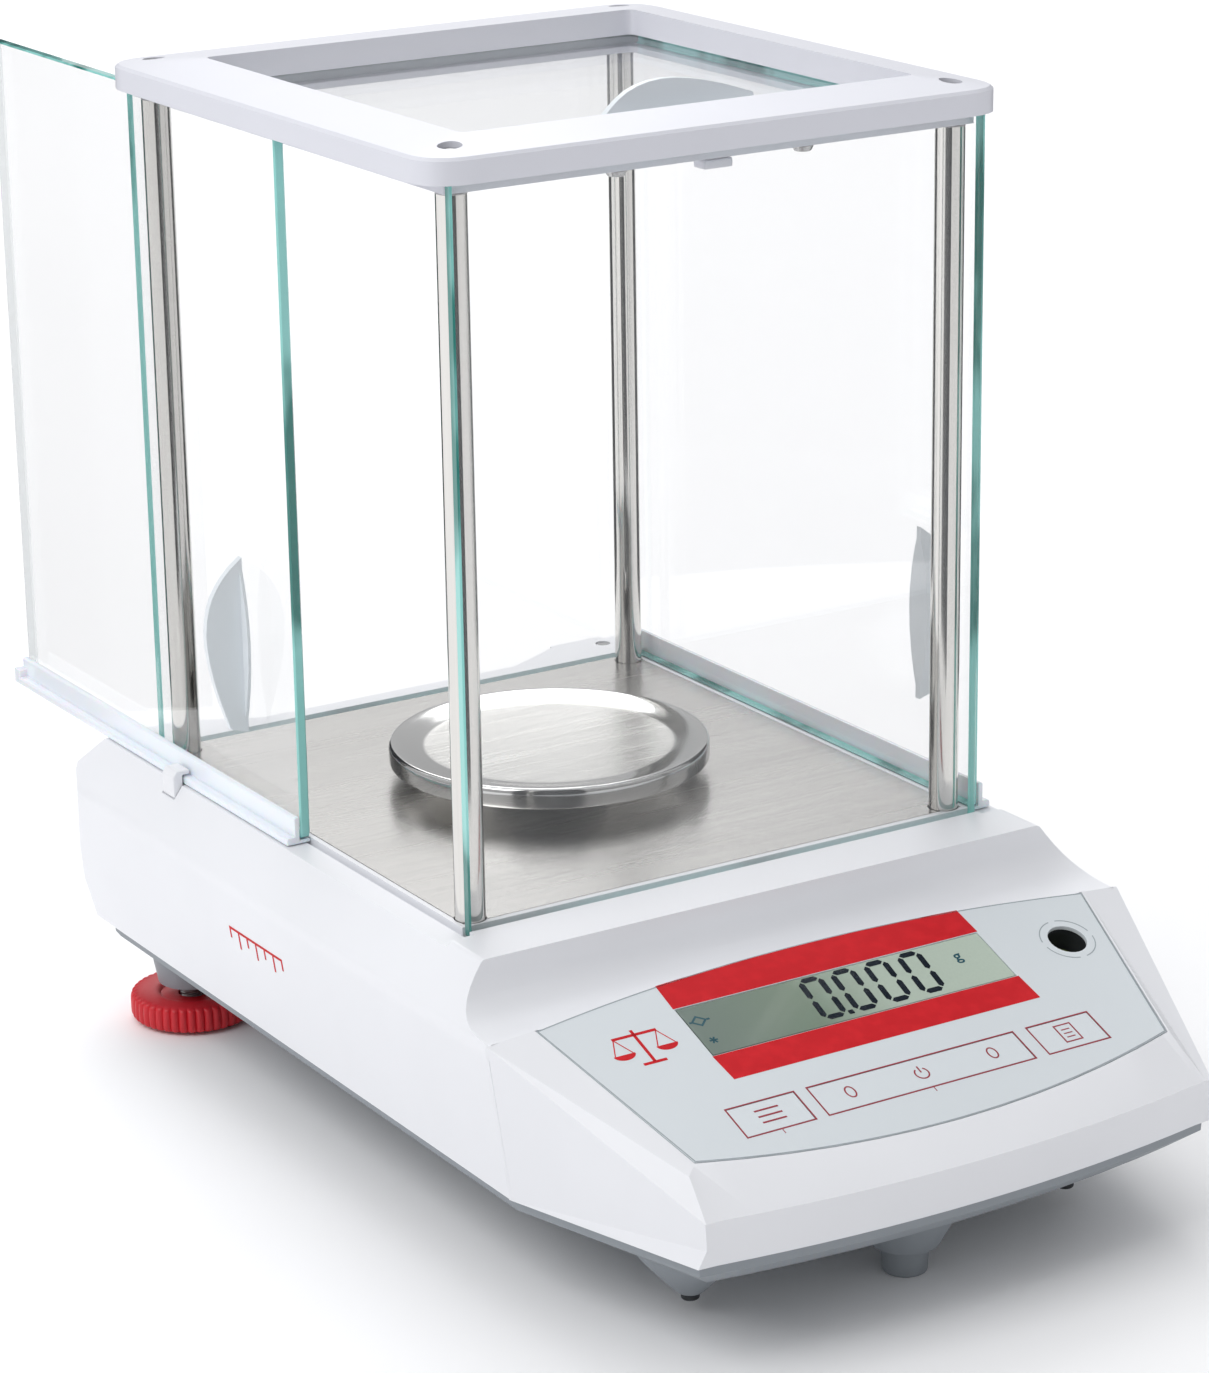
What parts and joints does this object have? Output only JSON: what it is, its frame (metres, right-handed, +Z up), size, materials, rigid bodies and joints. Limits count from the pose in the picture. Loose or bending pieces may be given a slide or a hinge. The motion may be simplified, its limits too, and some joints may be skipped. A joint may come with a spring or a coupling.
{
  "type": "analytical balance",
  "caption": "Analytical balance with a glass draught shield, sliding doors, round pan, sloped keypad panel and levelling feet.",
  "frame": {"origin": "centre of the footprint at rest, on the table (left door standing open to the back)", "axes": "+Z up, +Y to the back, +X to the right as seen by the user at the keypad"},
  "size_m": [0.196, 0.3708, 0.289],
  "materials": {
    "housing_white": "satin moulded ABS",
    "casing_grey": "matt moulded ABS",
    "floor_steel": "brushed across",
    "frame_white": "satin moulded ABS",
    "pillar_steel": "polished tube",
    "screw_steel": "plated",
    "pane_glass": "clear, green edges",
    "rail_white": "gloss moulded strip",
    "grip_grey": "satin moulded",
    "pan_steel": "brushed with polished rim",
    "cell_alloy": "machined",
    "foot_red": "moulded, ribbed",
    "stud_steel": "zinc plated",
    "foot_rubber": "matt",
    "fitting_black": "matt",
    "keypad_film": "fine matt film",
    "key_film": "fine matt film",
    "display_pane": "clear over grey-green liquid crystal",
    "board_green": "solder mask",
    "level_liquid": "filled vial"
  },
  "bodies": {
    "base": {"top_housing": "housing_white", "left_door_clip": "housing_white", "right_door_clip": "housing_white", "lower_casing": "casing_grey", "hook_cover": "casing_grey", "floor_plate": "floor_steel", "top_frame": "frame_white", "guide_frame": "frame_white", "stop_block": "frame_white", "pillar_front_left": "pillar_steel", "pillar_front_right": "pillar_steel", "pillar_rear_left": "pillar_steel", "pillar_rear_right": "pillar_steel", "frame_screw_front_left": "screw_steel", "frame_screw_front_right": "screw_steel", "frame_screw_rear_left": "screw_steel", "frame_screw_rear_right": "screw_steel", "guide_screw_left": "screw_steel", "guide_screw_right": "screw_steel", "front_glass": "pane_glass", "rear_glass": "pane_glass", "pan_support": "cell_alloy", "weigh_cell_frame": "cell_alloy", "weigh_cell_lever": "cell_alloy", "weigh_cell_magnet": "stud_steel", "front_foot": "foot_rubber", "deck_screw_left": "fitting_black", "deck_screw_right": "fitting_black", "tilt_pin_left": "fitting_black", "tilt_pin_right": "fitting_black", "dc_inlet": "fitting_black", "serial_port": "fitting_black", "lcd_module": "fitting_black", "level_cup": "fitting_black", "keypad_film": "keypad_film", "display_window": "display_pane", "main_board": "board_green", "display_board": "board_green", "level_vial": "level_liquid"},
    "left_door": {"left_door_glass": "pane_glass", "left_door_rail": "rail_white", "left_door_grip": "grip_grey"},
    "right_door": {"right_door_glass": "pane_glass", "right_door_rail": "rail_white", "right_door_grip": "grip_grey"},
    "top_door": {"top_door_glass": "pane_glass", "top_door_grip": "grip_grey"},
    "pan": {"pan": "pan_steel"},
    "key_unit": {"key_unit": "key_film"},
    "key_zero_tare": {"key_zero_tare": "key_film"},
    "key_print": {"key_print": "key_film"},
    "left_foot_pad": {"left_foot_pad": "foot_rubber"},
    "left_foot_wheel": {"left_foot_wheel": "foot_red", "left_foot_stud": "stud_steel"},
    "right_foot_pad": {"right_foot_pad": "foot_rubber"},
    "right_foot_wheel": {"right_foot_wheel": "foot_red", "right_foot_stud": "stud_steel"}
  },
  "joints": [
    {"name": "left_door_slide", "type": "slide", "parent": "base", "child": "left_door", "axis": [0, 1, 0], "range_m": [-0.081, 0.049]},
    {"name": "right_door_slide", "type": "slide", "parent": "base", "child": "right_door", "axis": [0, 1, 0], "range_m": [0, 0.13]},
    {"name": "top_door_slide", "type": "slide", "parent": "base", "child": "top_door", "axis": [0, 1, 0], "range_m": [0, 0.118]},
    {"name": "pan_lift", "type": "slide", "parent": "base", "child": "pan", "axis": [0, 0, 1], "range_m": [0, 0.03]},
    {"name": "key_unit_press", "type": "slide", "parent": "base", "child": "key_unit", "axis": [0, 0.3437, -0.9391], "range_m": [0, 0.0005], "stiffness_N_per_m": 2500},
    {"name": "key_zero_tare_press", "type": "slide", "parent": "base", "child": "key_zero_tare", "axis": [0, 0.3437, -0.9391], "range_m": [0, 0.0005], "stiffness_N_per_m": 2500},
    {"name": "key_print_press", "type": "slide", "parent": "base", "child": "key_print", "axis": [0, 0.3437, -0.9391], "range_m": [0, 0.0005], "stiffness_N_per_m": 2500},
    {"name": "left_foot_raise", "type": "slide", "parent": "base", "child": "left_foot_pad", "axis": [0, 0, 1], "range_m": [-0.004, 0.0025]},
    {"name": "left_foot_turn", "type": "hinge", "parent": "left_foot_pad", "child": "left_foot_wheel", "pos_m": [-0.0734, 0.1012, 0.005], "axis": [0, 0, 1], "range_deg": [-1152, 720]},
    {"name": "right_foot_raise", "type": "slide", "parent": "base", "child": "right_foot_pad", "axis": [0, 0, 1], "range_m": [-0.004, 0.0025]},
    {"name": "right_foot_turn", "type": "hinge", "parent": "right_foot_pad", "child": "right_foot_wheel", "pos_m": [0.0734, 0.1012, 0.005], "axis": [0, 0, 1], "range_deg": [-1152, 720]}
  ],
  "couplings": [
    {"joint": "left_foot_turn", "follows": "left_foot_raise", "rad_per_m": 5026.5},
    {"joint": "right_foot_turn", "follows": "right_foot_raise", "rad_per_m": 5026.5}
  ]
}
